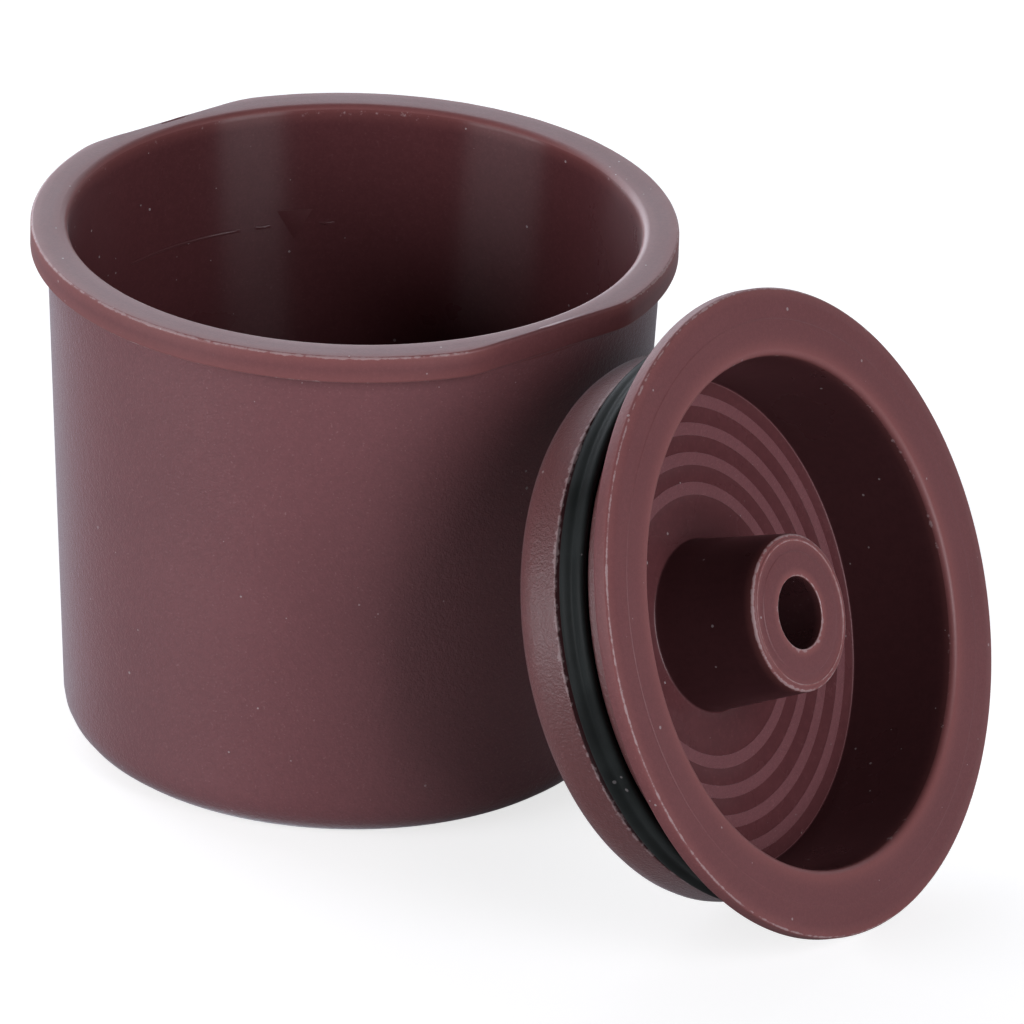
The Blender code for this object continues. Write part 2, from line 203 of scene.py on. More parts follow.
# Cup: one injection moulding in brown polypropylene. Its outer wall is spark-eroded in the mould, its
# flange and lip are trimmed, and its bore is drawn off a turned and polished core.
CUP_AXIS = (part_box("base_filter_screen")[0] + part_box("base_filter_screen")[1]) / 2
CUP_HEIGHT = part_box("cup_body")[1].z
FLANGE_RADIUS = (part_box("cup_body")[1].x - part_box("cup_body")[0].x) / 2
FLANGE_THICKNESS = 0.0020
FLANGE_OVERHANG = 0.0012
FLANGE_EDGE = 0.00022
FLANGE_ROOT = 0.0003
FLAT_DEPTH = 0.0010
FLAT_BLEND = 0.0004
FLATS_BEARING = math.radians(-18.9)
CUP_WALL = 0.0015
CUP_DRAFT = math.radians(2.5)
BASE_CORNER = 0.0028
LIP_RADIUS = 0.0006
FOOT_RING_WIDTH = 0.0025
FOOT_RECESS = 0.0012
WELL_FLOOR = 0.0026
FILTER_SEAT = 0.0040
FILTER_LEDGE = 0.0028
OUTLET_RADIUS = 0.0015
SPOUT_RADIUS = 0.0035
SPOUT_END = 0.0005
SMALL_EDGE = 0.00012
FLANGE_UNDERSIDE = CUP_HEIGHT - FLANGE_THICKNESS
BODY_TOP_RADIUS = FLANGE_RADIUS - FLANGE_OVERHANG
ROUND_SIDES = 384
ARC_STEPS = 6
CUP_STEP = 0.0008
BURR_RISE = 0.00003
BURR_SPREAD = 12.0
FROSTED_BROWN = (0.180, 0.062, 0.068)
SATIN_BROWN = (0.178, 0.062, 0.065)
# A darker copy of the same brown, for the cup's bore, the fill mark and the lid's dish floor: painted shade
# for these dim insides.
SHADED_INSIDE_BROWN = (0.108, 0.035, 0.038)
# A lighter brown laid along thin edges: a painted glow, as of light coming through the plastic.
PAINTED_GLOW_BROWN = (0.300, 0.105, 0.098)
# A pale brown for chafed edges, also laid on the grain's peaks as painted glints.
CHAFE_AND_GLINT_BROWN = (0.46, 0.34, 0.34)
LINT_WHITE = (0.55, 0.50, 0.50)


def body_radius(height):
    """The radius of the cup's outer wall at a height."""
    return BODY_TOP_RADIUS - math.tan(CUP_DRAFT) * (FLANGE_UNDERSIDE - height)


def bore_radius(height):
    """The radius of the cup's bore at a height."""
    return body_radius(height) - CUP_WALL


def rounded(corners, longest):
    """A closed outline through corners (radius, height, fillet), its straights cut to the longest step."""
    outline = []
    for index, (radius, height, fillet) in enumerate(corners):
        corner = Vector((radius, height))
        back = (Vector(corners[index - 1][:2]) - corner).normalized()
        ahead = (Vector(corners[(index + 1) % len(corners)][:2]) - corner).normalized()
        half = back.angle(ahead) / 2
        centre = corner + (back + ahead).normalized() * (fillet / math.sin(half))
        first = corner + back * (fillet / math.tan(half)) - centre
        last = corner + ahead * (fillet / math.tan(half)) - centre
        turn = first.angle_signed(last)
        steps = max(2, round(ARC_STEPS * abs(turn) / math.radians(90.0)))
        for step in range(steps + 1):
            outline.append(centre + Matrix.Rotation(-turn * step / steps, 2) @ first)
    points = []
    for start, end in zip(outline, outline[1:] + outline[:1]):
        cuts = max(1, math.ceil((end - start).length / longest))
        points += [start.lerp(end, cut / cuts) for cut in range(cuts)]
    return points


def turned(name, outline, place, materials, finish=None, reshape=None, sides=ROUND_SIDES):
    """A closed outline (radius, height) turned round Z. Finish picks a material for a place on it, and
    reshape may move a point (radius, bearing, height) after the turning."""
    points = []
    for side in range(sides):
        bearing = math.tau * side / sides
        for spot in outline:
            radius, height = reshape(spot.x, bearing, spot.y) if reshape else spot
            points.append((radius * math.cos(bearing), radius * math.sin(bearing), height))
    count = len(outline)
    faces = []
    for side in range(sides):
        here, there = side * count, (side + 1) % sides * count
        for step in range(count):
            ahead = (step + 1) % count
            faces.append((here + ahead, there + ahead, there + step, here + step))
    mesh = bpy.data.meshes.new(name)
    mesh.from_pydata(points, [], faces)
    for material in materials:
        mesh.materials.append(material)
    if finish:
        picks = [finish(*((outline[i] + outline[(i + 1) % count]) / 2)) for i in range(count)]
        mesh.polygons.foreach_set("material_index", picks * sides)
    mesh.shade_smooth()
    piece = bpy.data.objects.new(name, mesh)
    bpy.context.scene.collection.objects.link(piece)
    piece.matrix_world = place
    return piece


def mark_rings(piece, layer, rings):
    """Stores in a layer how near each point lies to any of the rings (radius, height, reach, strength)."""
    values = []
    for vertex in piece.data.vertices:
        spot = Vector((math.hypot(vertex.co.x, vertex.co.y), vertex.co.z))
        near = [
            strength * math.exp(-(((spot - Vector((radius, height))).length / reach) ** 2))
            for radius, height, reach, strength in rings
        ]
        values.append(max(near))
    piece.data.attributes.new(layer, "FLOAT", "POINT").data.foreach_set("value", values)


def new_group(name, inputs, outputs):
    """An empty shader node group, with its input sockets as the returned outputs of its input node."""
    group = bpy.data.node_groups.new(name, "ShaderNodeTree")
    for socket, kind, value in inputs:
        made = group.interface.new_socket(socket, in_out="INPUT", socket_type=kind)
        if value is not None:
            made.default_value = value
    for socket in outputs:
        group.interface.new_socket(socket, in_out="OUTPUT", socket_type="NodeSocketFloat")
    return group, group.nodes.new("NodeGroupInput").outputs


def place_group(tree, group, inputs):
    """A node that uses a shader node group; its outputs are returned."""
    made = add_node(tree, "ShaderNodeGroup", node_tree=group)
    for name, value in inputs.items():
        if isinstance(value, bpy.types.NodeSocket):
            tree.links.new(value, made.inputs[name])
        else:
            made.inputs[name].default_value = value
    return made.outputs


def eroded_grain():
    """The fine random grain that spark erosion leaves in a mould, and painted glints on its highest peaks.
    """
    group, given = new_group(
        "eroded_grain",
        [("Vector", "NodeSocketVector", None), ("Grain size", "NodeSocketFloat", 0.0001)],
        ["Height", "Painted glint"],
    )
    scale = calculate(group, "DIVIDE", 1.0, given["Grain size"])
    fine = add_node(
        group,
        "ShaderNodeTexNoise",
        {"Vector": given["Vector"], "Scale": scale, "Detail": 3.0, "Roughness": 0.6},
    ).outputs["Fac"]
    coarse = add_node(
        group,
        "ShaderNodeTexNoise",
        {"Vector": given["Vector"], "Scale": calculate(group, "MULTIPLY", scale, 0.4), "Detail": 2.0},
    ).outputs["Fac"]
    height = add_node(group, "ShaderNodeMix", {0: 0.4, 2: fine, 3: coarse}).outputs[0]
    add_node(group, "NodeGroupOutput", {"Height": height, "Painted glint": remap(group, fine, 0.62, 0.74)})
    return group


def turned_lines():
    """The fine lines that turning leaves round a core: along its sides, and in rings on its ends."""
    group, given = new_group(
        "turned_lines",
        [("Vector", "NodeSocketVector", None), ("Line width", "NodeSocketFloat", 0.0001)],
        ["Along sides", "Across ends"],
    )
    split = add_node(group, "ShaderNodeSeparateXYZ", {0: given["Vector"]}).outputs
    squares = [calculate(group, "MULTIPLY", split[axis], split[axis]) for axis in (0, 1)]
    radius = calculate(group, "SQRT", calculate(group, "ADD", *squares))
    lines = []
    for distance in (split[2], radius):
        count = calculate(group, "DIVIDE", distance, given["Line width"])
        lines.append(
            add_node(
                group, "ShaderNodeTexNoise", {"W": count, "Scale": 1.0, "Detail": 3.0}, noise_dimensions="1D"
            ).outputs["Fac"]
        )
    add_node(group, "NodeGroupOutput", {"Along sides": lines[0], "Across ends": lines[1]})
    return group


def edge_wear():
    """Where an edge is chafed pale: a thin broken line at the edge, and fewer flecks beside it."""
    group, given = new_group(
        "edge_wear",
        [
            ("Vector", "NodeSocketVector", None),
            ("Edge", "NodeSocketFloat", 0.0),
            ("Cover", "NodeSocketFloat", 0.5),
        ],
        ["Wear"],
    )
    patches = add_node(
        group,
        "ShaderNodeTexNoise",
        {"Vector": given["Vector"], "Scale": 2200.0, "Detail": 3.0, "Roughness": 0.6},
    ).outputs["Fac"]
    runs = add_node(
        group, "ShaderNodeTexNoise", {"Vector": given["Vector"], "Scale": 210.0, "Detail": 2.0}
    ).outputs["Fac"]
    level = calculate(group, "ADD", patches, calculate(group, "MULTIPLY", runs, 0.7))
    level = calculate(group, "ADD", level, calculate(group, "MULTIPLY", given["Edge"], 0.5))
    level = calculate(group, "ADD", level, given["Cover"])
    add_node(group, "NodeGroupOutput", {"Wear": remap(group, level, 1.80, 1.95)})
    return group


def lint():
    """Sparse specks of dust."""
    group, given = new_group(
        "lint",
        [("Vector", "NodeSocketVector", None), ("Spacing", "NodeSocketFloat", 0.002)],
        ["Speck"],
    )
    scale = calculate(group, "DIVIDE", 1.0, given["Spacing"])
    cells = add_node(group, "ShaderNodeTexVoronoi", {"Vector": given["Vector"], "Scale": scale}).outputs
    pick = add_node(group, "ShaderNodeSeparateColor", {0: cells["Color"]}).outputs
    size = calculate(group, "MULTIPLY", calculate(group, "POWER", pick[0], 3.0), 0.11)
    speck = calculate(group, "LESS_THAN", cells["Distance"], size)
    add_node(group, "NodeGroupOutput", {"Speck": speck})
    return group


ERODED_GRAIN = eroded_grain()
TURNED_LINES = turned_lines()
EDGE_WEAR = edge_wear()
LINT = lint()


def brown_plastic(name, brown, roughness, grain, grain_height, line_height=0.0, line_width=0.00015,
                  lines="Along sides", stretch=0.0, bloom=0.0, painted_glint=0.05, shine=0.5):
    """Brown polypropylene with a mould finish: eroded grain with painted glints, turned lines, a painted
    glow where thin places let light through, chafed edges and dust."""
    material = bpy.data.materials.new(name)
    material.use_nodes = True
    tree = material.node_tree
    shader = tree.nodes["Principled BSDF"]
    place = add_node(tree, "ShaderNodeTexCoord").outputs["Object"]
    edge = add_node(tree, "ShaderNodeAttribute", attribute_name="edge").outputs["Fac"]
    thin = add_node(tree, "ShaderNodeAttribute", attribute_name="thin").outputs["Fac"]
    drift = add_node(
        tree, "ShaderNodeTexNoise", {"Vector": place, "Scale": 90.0, "Detail": 5.0, "Roughness": 0.55}
    ).outputs["Fac"]
    surface = place_group(tree, ERODED_GRAIN, {"Vector": place, "Grain size": grain})
    worn = place_group(tree, EDGE_WEAR, {"Vector": place, "Edge": edge, "Cover": 0.5})["Wear"]
    speck = place_group(tree, LINT, {"Vector": place, "Spacing": 0.0011})["Speck"]

    dark, light = [tuple(part * share for part in brown) for share in (0.93, 1.07)]
    shade = add_node(tree, "ShaderNodeMix", {0: 0.75, 2: drift, 3: surface["Height"]}).outputs[0]
    colour = blend_colours(tree, remap(tree, shade, 0.4, 0.6), dark, light)
    # Painted glow: the thin edges are lightened as if light came through the plastic.
    colour = blend_colours(tree, calculate(tree, "MULTIPLY", thin, 0.5), colour, PAINTED_GLOW_BROWN)
    # Painted glints: the grain's peaks are lightened where the eroded surface would catch the light.
    colour = blend_colours(tree, calculate(tree, "MULTIPLY", surface["Painted glint"], painted_glint), colour, CHAFE_AND_GLINT_BROWN)
    colour = blend_colours(tree, calculate(tree, "MULTIPLY", worn, 0.6), colour, CHAFE_AND_GLINT_BROWN)
    colour = blend_colours(tree, calculate(tree, "MULTIPLY", speck, 0.5), colour, LINT_WHITE)
    tree.links.new(colour, shader.inputs["Base Color"])

    uneven = remap(tree, drift, 0.3, 0.7, roughness - 0.03, roughness + 0.03)
    rough = calculate(tree, "ADD", uneven, calculate(tree, "MULTIPLY", worn, 0.15))
    tree.links.new(rough, shader.inputs["Roughness"])

    bump = add_node(tree, "ShaderNodeBump", {"Height": surface["Height"], "Distance": grain_height})
    if line_height:
        rings = place_group(tree, TURNED_LINES, {"Vector": place, "Line width": line_width})[lines]
        bump = add_node(
            tree,
            "ShaderNodeBump",
            {"Height": rings, "Distance": line_height, "Normal": bump.outputs["Normal"]},
        )
    tree.links.new(bump.outputs["Normal"], shader.inputs["Normal"])
    shader.inputs["Specular IOR Level"].default_value = shine
    shader.inputs["Sheen Weight"].default_value = bloom
    shader.inputs["Sheen Roughness"].default_value = 0.35
    shader.inputs["Sheen Tint"].default_value = (0.9, 0.94, 1.0, 1.0)
    if stretch:
        shader.inputs["Anisotropic"].default_value = stretch
        shader.inputs["Anisotropic Rotation"].default_value = 0.25
        round_axis = add_node(tree, "ShaderNodeTangent", direction_type="RADIAL", axis="Z")
        tree.links.new(round_axis.outputs[0], shader.inputs["Tangent"])
    return material


ERODED_BROWN = brown_plastic("eroded_brown", FROSTED_BROWN, 0.50, 0.00017, 0.00007, bloom=0.8, painted_glint=0.22)
TRIMMED_BROWN = brown_plastic(
    "trimmed_brown", SATIN_BROWN, 0.42, 0.00014, 0.000014, 0.000004, 0.00012, "Across ends", shine=0.42
)
# The bore takes the darker copy of the brown: painted shade.
CORE_BROWN = brown_plastic(
    "core_brown", SHADED_INSIDE_BROWN, 0.30, 0.0002, 0.000001, 0.000006, 0.00016, stretch=1.0, shine=0.27
)

CUP_OUTLINE = rounded(
    (
        (FLANGE_RADIUS, CUP_HEIGHT, FLANGE_EDGE),
        (FLANGE_RADIUS, FLANGE_UNDERSIDE, FLANGE_EDGE),
        (BODY_TOP_RADIUS, FLANGE_UNDERSIDE, FLANGE_ROOT),
        (body_radius(0.0), 0.0, BASE_CORNER),
        (body_radius(0.0) - BASE_CORNER - FOOT_RING_WIDTH, 0.0, SMALL_EDGE),
        (body_radius(0.0) - BASE_CORNER - FOOT_RING_WIDTH, FOOT_RECESS, SMALL_EDGE),
        (SPOUT_RADIUS, FOOT_RECESS, SMALL_EDGE),
        (SPOUT_RADIUS, SPOUT_END, SMALL_EDGE),
        (OUTLET_RADIUS, SPOUT_END, SMALL_EDGE),
        (OUTLET_RADIUS, WELL_FLOOR, SMALL_EDGE),
        (bore_radius(FILTER_SEAT) - FILTER_LEDGE, WELL_FLOOR, SMALL_EDGE),
        (bore_radius(FILTER_SEAT) - FILTER_LEDGE, FILTER_SEAT, SMALL_EDGE),
        (bore_radius(FILTER_SEAT), FILTER_SEAT, SMALL_EDGE),
        (bore_radius(CUP_HEIGHT), CUP_HEIGHT, LIP_RADIUS),
    ),
    CUP_STEP,
)


def cup_finish(radius, height):
    """0 for the spark-eroded outside, 1 for the trimmed flange and lip, 2 for the polished bore."""
    if height > FLANGE_UNDERSIDE - FLANGE_ROOT and radius > BODY_TOP_RADIUS:
        return 1
    if height > CUP_HEIGHT - LIP_RADIUS / 2:
        return 1
    if height > FOOT_RECESS and radius < bore_radius(height) + SMALL_EDGE:
        return 2
    return 0


def trim_flange(radius, bearing, height):
    """Cuts the two flats on the flange, with corners that run out softly, and leaves a burr on its edge."""
    share = (radius - BODY_TOP_RADIUS) / (FLANGE_OVERHANG - FLANGE_EDGE)
    if share <= 0 or height < FLANGE_UNDERSIDE - FLANGE_ROOT:
        return radius, height
    chord = (FLANGE_RADIUS - FLAT_DEPTH) / max(abs(math.cos(bearing - FLATS_BEARING)), 0.5)
    side = min(max(0.5 + 0.5 * (chord - FLANGE_RADIUS) / FLAT_BLEND, 0.0), 1.0)
    reach = chord + (FLANGE_RADIUS - chord) * side - FLAT_BLEND * side * (1.0 - side)
    burr = 0.0
    if radius > FLANGE_RADIUS - FLANGE_EDGE * 1.2 and height > CUP_HEIGHT - FLANGE_EDGE:
        place = Vector((math.cos(bearing), math.sin(bearing), 0.0)) * BURR_SPREAD
        burr = BURR_RISE * max(0.0, noise.noise(place))
    return radius - (FLANGE_RADIUS - reach) * min(share, 1.0), height + burr


cup = turned(
    "cup",
    CUP_OUTLINE,
    Matrix.Translation((CUP_AXIS.x, CUP_AXIS.y, 0.0)),
    (ERODED_BROWN, TRIMMED_BROWN, CORE_BROWN),
    cup_finish,
    trim_flange,
)
mark_rings(
    cup,
    "edge",
    (
        (FLANGE_RADIUS - FLANGE_EDGE / 3, CUP_HEIGHT - FLANGE_EDGE / 3, 0.00014, 1.3),
        (bore_radius(CUP_HEIGHT) + LIP_RADIUS / 3, CUP_HEIGHT - LIP_RADIUS, 0.0005, 0.78),
        (FLANGE_RADIUS - FLANGE_EDGE / 3, FLANGE_UNDERSIDE + FLANGE_EDGE / 3, 0.00014, 0.95),
    ),
)
# Painted glow along the flange's edges and the lip, where the plastic is thin.
mark_rings(
    cup,
    "thin",
    (
        (FLANGE_RADIUS, CUP_HEIGHT, 0.0006, 1.0),
        (bore_radius(CUP_HEIGHT), CUP_HEIGHT, 0.0007, 1.0),
        (FLANGE_RADIUS, FLANGE_UNDERSIDE, 0.0004, 1.0),
    ),
)
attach(cup, "cup")
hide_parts("cup_body")


# Fill mark: part of the cup's moulding, cut into the polished core. A raised line round part of the bore
# shows how far to fill, with a small triangle between two ticks at its end.
FILL_HEIGHT = CUP_HEIGHT - 0.0091
FILL_LINE_BEARING = math.radians(147.0)
FILL_LINE_SPAN = math.radians(29.0)
TRIANGLE_BEARING = math.radians(135.0)
TRIANGLE_SIZE = 0.0023
TRIANGLE_CORNERS = ((-0.577, 0.333), (0.0, -0.667), (0.577, 0.333))
TRIANGLE_LIFT = 0.167
TRIANGLE_TOP = 0.72
TICK_BEARINGS = (math.radians(126.5), math.radians(140.1))
TICK_SPAN = math.radians(3.4)
MARK_BAND = 0.00024
MARK_RELIEF = 0.00008
MARK_ROOT = 0.0003
MARK_STEP = math.radians(0.5)
MARK_ARC_STEPS = 6
MARK_END_STEPS = 3
SHARP_CORNER = math.radians(35.0)


def mark_bar(start, span):
    """Points and faces of a low rounded bar on the bore wall."""
    section = []
    for step in range(MARK_ARC_STEPS + 1):
        angle = math.pi * step / MARK_ARC_STEPS
        section.append((MARK_RELIEF * math.sin(angle), -MARK_BAND / 2 * math.cos(angle)))
    section += [(-MARK_ROOT, MARK_BAND / 2), (-MARK_ROOT, -MARK_BAND / 2)]
    stations = round(span / MARK_STEP) + 1
    points = []
    for station in range(stations):
        bearing = start + span * station / (stations - 1)
        ends = min(station, stations - 1 - station, MARK_END_STEPS) / MARK_END_STEPS
        for proud, rise in section:
            radius = bore_radius(FILL_HEIGHT + rise) - (proud * ends if proud > 0 else proud)
            points.append((radius * math.cos(bearing), radius * math.sin(bearing), FILL_HEIGHT + rise))
    count = len(section)
    faces = [tuple(reversed(range(count))), tuple(range(len(points) - count, len(points)))]
    for here in range(0, len(points) - count, count):
        for step in range(count):
            ahead = (step + 1) % count
            faces.append((here + step, here + ahead, here + count + ahead, here + count + step))
    return points, faces


def mark_triangle():
    """Points and faces of a low triangle, point down, with sloping sides."""
    points = []
    for share, proud in ((1.0, -MARK_ROOT), (1.0, 0.0), (TRIANGLE_TOP, MARK_RELIEF)):
        for across, rise in TRIANGLE_CORNERS:
            height = FILL_HEIGHT + TRIANGLE_SIZE * (TRIANGLE_LIFT + rise * share)
            radius = bore_radius(height) - proud
            bearing = TRIANGLE_BEARING - across * share * TRIANGLE_SIZE / bore_radius(FILL_HEIGHT)
            points.append((radius * math.cos(bearing), radius * math.sin(bearing), height))
    faces = [(2, 1, 0), (6, 7, 8)]
    for level in (0, 3):
        for step in range(3):
            ahead = (step + 1) % 3
            faces.append((level + step, level + ahead, level + 3 + ahead, level + 3 + step))
    return points, faces


mark_points, mark_faces = [], []
for new_points, new_faces in (
    mark_bar(FILL_LINE_BEARING, FILL_LINE_SPAN),
    mark_bar(TICK_BEARINGS[0], TICK_SPAN),
    mark_bar(TICK_BEARINGS[1], TICK_SPAN),
    mark_triangle(),
):
    mark_faces += [tuple(len(mark_points) + index for index in face) for face in new_faces]
    mark_points += new_points
mark_mesh = bpy.data.meshes.new("fill_mark")
mark_mesh.from_pydata(mark_points, [], mark_faces)
# The fill mark takes the bore's darker copy of the brown: painted shade.
mark_mesh.materials.append(brown_plastic("mark_brown", SHADED_INSIDE_BROWN, 0.34, 0.00012, 0.000006))
mark_mesh.shade_smooth()
mark_mesh.set_sharp_from_angle(angle=SHARP_CORNER)
fill_mark = bpy.data.objects.new("fill_mark", mark_mesh)
bpy.context.scene.collection.objects.link(fill_mark)
fill_mark.location = (CUP_AXIS.x, CUP_AXIS.y, 0.0)
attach(fill_mark, "cup")


# Base filter: a disc of etched stainless steel with fine round holes, laid on the ledge over the outlet.
FILTER_RADIUS = (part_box("base_filter_screen")[1].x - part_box("base_filter_screen")[0].x) / 2
FILTER_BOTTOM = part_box("base_filter_screen")[0].z
FILTER_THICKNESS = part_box("base_filter_screen")[1].z - FILTER_BOTTOM
FILTER_HOLE = 0.00045
FILTER_PITCH = 0.0009
FILTER_MARGIN = 0.0028
HOLE_SIDES = 10
ROW_ANGLE = math.radians(60.0)
STEEL = (0.60, 0.585, 0.56)
STEEL_SHADE = (0.44, 0.43, 0.42)


def perforated_disc(name, radius, thickness, hole, pitch, margin, place, material):
    """A thin disc with a triangular field of round holes inside a plain margin."""
    circles = [(0.0, 0.0, radius, ROUND_SIDES // 2)]
    rows = math.ceil(radius / (pitch * math.sin(ROW_ANGLE)))
    for row in range(-rows, rows + 1):
        for column in range(-2 * rows, 2 * rows + 1):
            x = (column + (row % 2) / 2) * pitch
            y = row * pitch * math.sin(ROW_ANGLE)
            if math.hypot(x, y) < radius - margin - hole / 2:
                circles.append((x, y, hole / 2, HOLE_SIDES))
    flat = bmesh.new()
    edges = []
    for x, y, reach, sides in circles:
        start = len(flat.verts)
        ring = []
        for side in range(sides):
            angle = math.tau * side / sides
            ring.append(flat.verts.new((x + reach * math.cos(angle), y + reach * math.sin(angle), 0.0)))
        for side in range(sides):
            ahead = (side + 1) % sides
            flat.edges.new((ring[side], ring[ahead]))
            edges.append((start + side, start + ahead) if start == 0 else (start + ahead, start + side))
    bmesh.ops.triangle_fill(flat, use_beauty=True, edges=flat.edges[:])
    flat.verts.index_update()
    flat.normal_update()
    points = [vertex.co.copy() for vertex in flat.verts]
    fill = []
    for face in flat.faces:
        corners = [vertex.index for vertex in face.verts]
        fill.append(corners if face.normal.z > 0 else corners[::-1])
    flat.free()
    count = len(points)
    points += [point + Vector((0.0, 0.0, thickness)) for point in points]
    faces = [corners[::-1] for corners in fill]
    faces += [[count + corner for corner in corners] for corners in fill]
    faces += [[first, last, count + last, count + first] for first, last in edges]
    mesh = bpy.data.meshes.new(name)
    mesh.from_pydata(points, [], faces)
    mesh.materials.append(material)
    mesh.shade_smooth()
    mesh.set_sharp_from_angle(angle=SHARP_CORNER)
    disc = bpy.data.objects.new(name, mesh)
    bpy.context.scene.collection.objects.link(disc)
    disc.matrix_world = place
    return disc


def stainless(name, roughness, lines, line_width):
    """Rolled stainless steel with fine lines, water marks and uneven polish."""
    material = bpy.data.materials.new(name)
    material.use_nodes = True
    tree = material.node_tree
    shader = tree.nodes["Principled BSDF"]
    shader.inputs["Metallic"].default_value = 1.0
    place = add_node(tree, "ShaderNodeTexCoord").outputs["Object"]
    marks = add_node(
        tree, "ShaderNodeTexNoise", {"Vector": place, "Scale": 220.0, "Detail": 5.0, "Roughness": 0.65}
    ).outputs["Fac"]
    colour = blend_colours(tree, remap(tree, marks, 0.35, 0.7), STEEL, STEEL_SHADE)
    tree.links.new(colour, shader.inputs["Base Color"])
    uneven = remap(tree, marks, 0.3, 0.7, roughness - 0.05, roughness + 0.08)
    tree.links.new(uneven, shader.inputs["Roughness"])
    rings = place_group(tree, TURNED_LINES, {"Vector": place, "Line width": line_width})[lines]
    bump = add_node(tree, "ShaderNodeBump", {"Height": rings, "Distance": 0.000006})
    tree.links.new(bump.outputs["Normal"], shader.inputs["Normal"])
    return material


ETCHED_STEEL = stainless("etched_steel", 0.34, "Across ends", 0.00009)
base_screen = perforated_disc(
    "base_screen",
    FILTER_RADIUS,
    FILTER_THICKNESS,
    FILTER_HOLE,
    FILTER_PITCH,
    FILTER_MARGIN,
    Matrix.Translation((CUP_AXIS.x, CUP_AXIS.y, FILTER_BOTTOM)),
    ETCHED_STEEL,
)
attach(base_screen, "cup")
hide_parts("base_filter_screen")


# Filter ring: a moulded ring in the cup's own plastic, pressed into the bore to hold the screen down.
RING_LOW, RING_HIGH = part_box("base_filter_ring")
RING_RADIUS = (RING_HIGH.x - RING_LOW.x) / 2
RING_WIDTH = 0.0026
RING_EDGE = 0.0003

filter_ring = turned(
    "filter_ring",
    rounded(
        (
            (RING_RADIUS, RING_HIGH.z, RING_EDGE),
            (RING_RADIUS, RING_LOW.z, SMALL_EDGE),
            (RING_RADIUS - RING_WIDTH, RING_LOW.z, SMALL_EDGE),
            (RING_RADIUS - RING_WIDTH, RING_HIGH.z, RING_EDGE),
        ),
        CUP_STEP,
    ),
    Matrix.Translation((CUP_AXIS.x, CUP_AXIS.y, 0.0)),
    (TRIMMED_BROWN,),
)
mark_rings(filter_ring, "edge", ((RING_RADIUS - RING_WIDTH, RING_HIGH.z, 0.0002, 1.0),))
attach(filter_ring, "cup")
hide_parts("base_filter_ring")


# Lid: one injection moulding in the same brown polypropylene. A flat flange, a grooved plug, a deep dish
# with a hollow post in its middle, and flat ribs round the floor of the dish.
LID_AXIS = Vector(frame["joints"][0]["axis"]).normalized()
SEAL_DEPTH = 0.0057
SEAL_MIDDLE = (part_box("lid_seal_ring")[0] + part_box("lid_seal_ring")[1]) / 2
LID_FACE_MIDDLE = SEAL_MIDDLE + LID_AXIS * SEAL_DEPTH
LID_FLANGE_RADIUS = 0.0228
LID_FLANGE_THICKNESS = 0.0013
LID_FLANGE_EDGE = 0.00025
PLUG_RADIUS = 0.019403
PLUG_DEPTH = 0.0111
PLUG_CORNER = 0.0020
GROOVE_RADIUS = 0.018288
GROOVE_HALF_WIDTH = 0.0014
GROOVE_CHAMFER = 0.0004
DISH_DEPTH = 0.0085
DISH_MOUTH_RADIUS = 0.018038
DISH_FLOOR_RADIUS = 0.017488
DISH_LIP = 0.0005
DISH_FLOOR_FILLET = 0.00015
RIM_CREASES = (0.01895, 0.01945)
CREASE_DEPTH = 0.00003
CREASE_BEARING = math.radians(-93.3)
CREASE_WIDTH = 0.00010
RIM_STEP_RADIUS = 0.0206
RIM_STEP = 0.00003
RIM_STEP_FILLET = 0.0002
FACE_ROLL_RADIUS = 0.0219
FACE_ROLL_FILLET = 0.002
FACE_ROLL_DROP = 0.00010
POST_SET_BACK = 0.0004
POST_TIP_RADIUS = 0.00555
POST_ROOT_RADIUS = 0.006088
POST_RIM = 0.00025
POST_ROOT_FILLET = 0.00018
TIP_STEP_RADIUS = 0.0043
TIP_STEP = 0.00004
TIP_STEP_FILLET = 0.00003
TIP_RIDGE = (0.00506, 0.00522)
TIP_RIDGE_RISE = 0.00003
TIP_RIDGE_FILLET = 0.00002
INLET_RADIUS = 0.00255
SHOWER_SEAT = -0.0097
SHOWER_RECESS_RADIUS = 0.016203
RIBS = 4
FIRST_RIB = 0.0092
RIB_PITCH = 0.0021
RIB_WIDTH = 0.0009
RIB_RISE = 0.00003
FINE_EDGE = 0.00001
LID_SIDES = 256
LID_STEP = 0.0006
# The darkest copy of the brown, for the dish wall and the post's bore: painted shade in these recesses.
RECESS_SHADE_BROWN = (0.062, 0.021, 0.023)
PLUG_RED_BROWN = (0.155, 0.052, 0.052)

lid_place = Matrix.Translation(LID_FACE_MIDDLE) @ LID_AXIS.to_track_quat("Z", "Y").to_matrix().to_4x4()


def rib_corners():
    """The ribs on the dish floor, from the post outwards."""
    corners = []
    for rib in range(RIBS):
        inner = FIRST_RIB + rib * RIB_PITCH
        outer = inner + RIB_WIDTH
        for radius, rise in ((inner, 0), (inner, RIB_RISE), (outer, RIB_RISE), (outer, 0)):
            corners.append((radius, rise - DISH_DEPTH, FINE_EDGE))
    return corners


def face_corners():
    """The lid's face from the dish's mouth outwards: fine creases, a low step and a soft roll-off."""
    corners = []
    for crease in RIM_CREASES:
        corners.append((crease - CREASE_WIDTH / 2, 0.0, FINE_EDGE))
        corners.append((crease, -CREASE_DEPTH, FINE_EDGE))
        corners.append((crease + CREASE_WIDTH / 2, 0.0, FINE_EDGE))
    corners.append((RIM_STEP_RADIUS - CREASE_WIDTH, 0.0, RIM_STEP_FILLET))
    corners.append((RIM_STEP_RADIUS, -RIM_STEP, RIM_STEP_FILLET))
    corners.append((FACE_ROLL_RADIUS, -RIM_STEP, FACE_ROLL_FILLET))
    return corners


